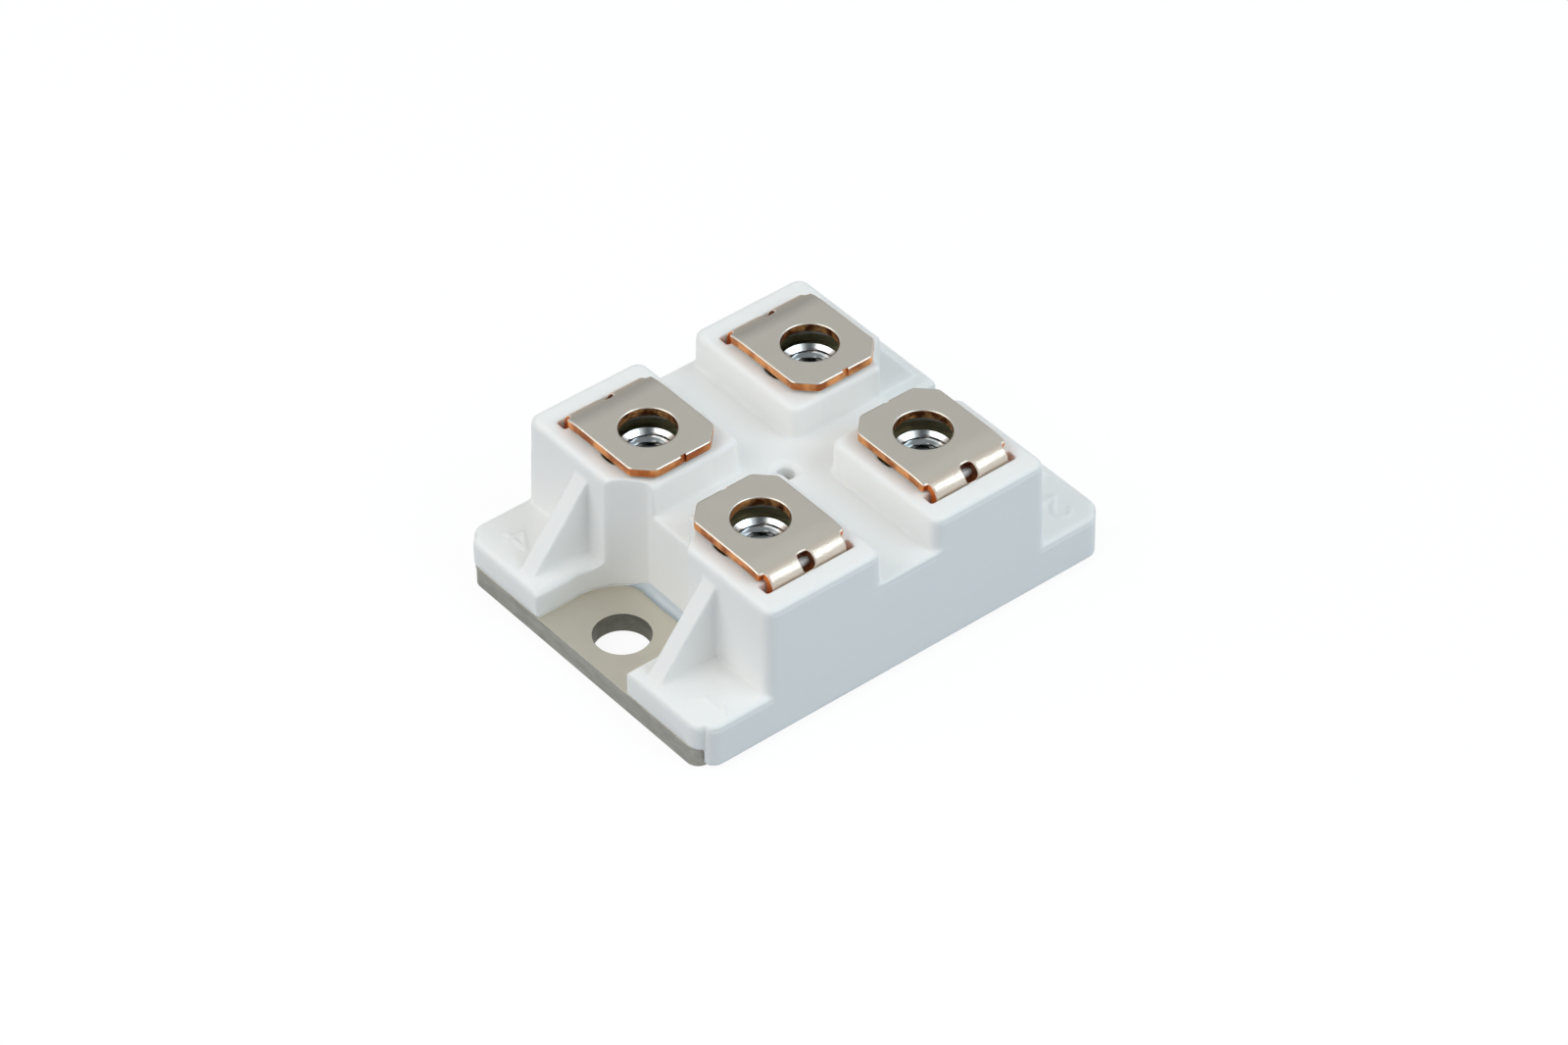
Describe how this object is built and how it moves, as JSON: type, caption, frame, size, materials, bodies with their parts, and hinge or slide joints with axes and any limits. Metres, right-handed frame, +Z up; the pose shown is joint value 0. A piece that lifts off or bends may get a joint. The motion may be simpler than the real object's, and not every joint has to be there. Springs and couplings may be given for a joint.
{
  "type": "silicon carbide mosfet module",
  "caption": "White power module: a towered plastic housing on a metal base plate with end screw recesses, bent strip terminals over captive nuts and a sealed switch circuit inside.",
  "frame": {"origin": "middle of the base plate's underside", "axes": "+X along the length, towards terminals 2 and 3; +Y across, towards terminals 3 and 4; +Z up through the terminal tops"},
  "size_m": [0.0376, 0.028, 0.0128],
  "materials": {
    "white_plastic": "satin moulded white",
    "plated_base": "satin nickel plate on copper",
    "plated_strip": "satin nickel plate on copper, bare copper at the punched edges",
    "zinc_steel": "bright zinc plate",
    "adhesive": "cured silicone",
    "solder": "reflowed solder",
    "copper": "bonded copper",
    "ceramic": "fired ceramic",
    "chip": "polished semiconductor",
    "wire": "drawn aluminium",
    "gel": "clear soft silicone"
  },
  "bodies": {
    "root": {"base_plate": "plated_base", "housing": "white_plastic", "sealing_adhesive": "adhesive", "terminal_1": "plated_strip", "terminal_2": "plated_strip", "terminal_3": "plated_strip", "terminal_4": "plated_strip", "terminal_nuts": "zinc_steel", "base_solder": "solder", "substrate_back_copper": "copper", "substrate_ceramic": "ceramic", "drain_track": "copper", "source_track": "copper", "gate_track": "copper", "kelvin_source_track": "copper", "die_solder_1": "solder", "die_solder_2": "solder", "die_solder_3": "solder", "die_solder_4": "solder", "chip_1": "chip", "chip_2": "chip", "chip_3": "chip", "chip_4": "chip", "terminal_solder_1": "solder", "terminal_solder_2": "solder", "terminal_solder_3": "solder", "terminal_solder_4": "solder", "source_wires": "wire", "gate_wires": "wire", "kelvin_source_wires": "wire", "silicone_gel": "gel"}
  },
  "joints": []
}
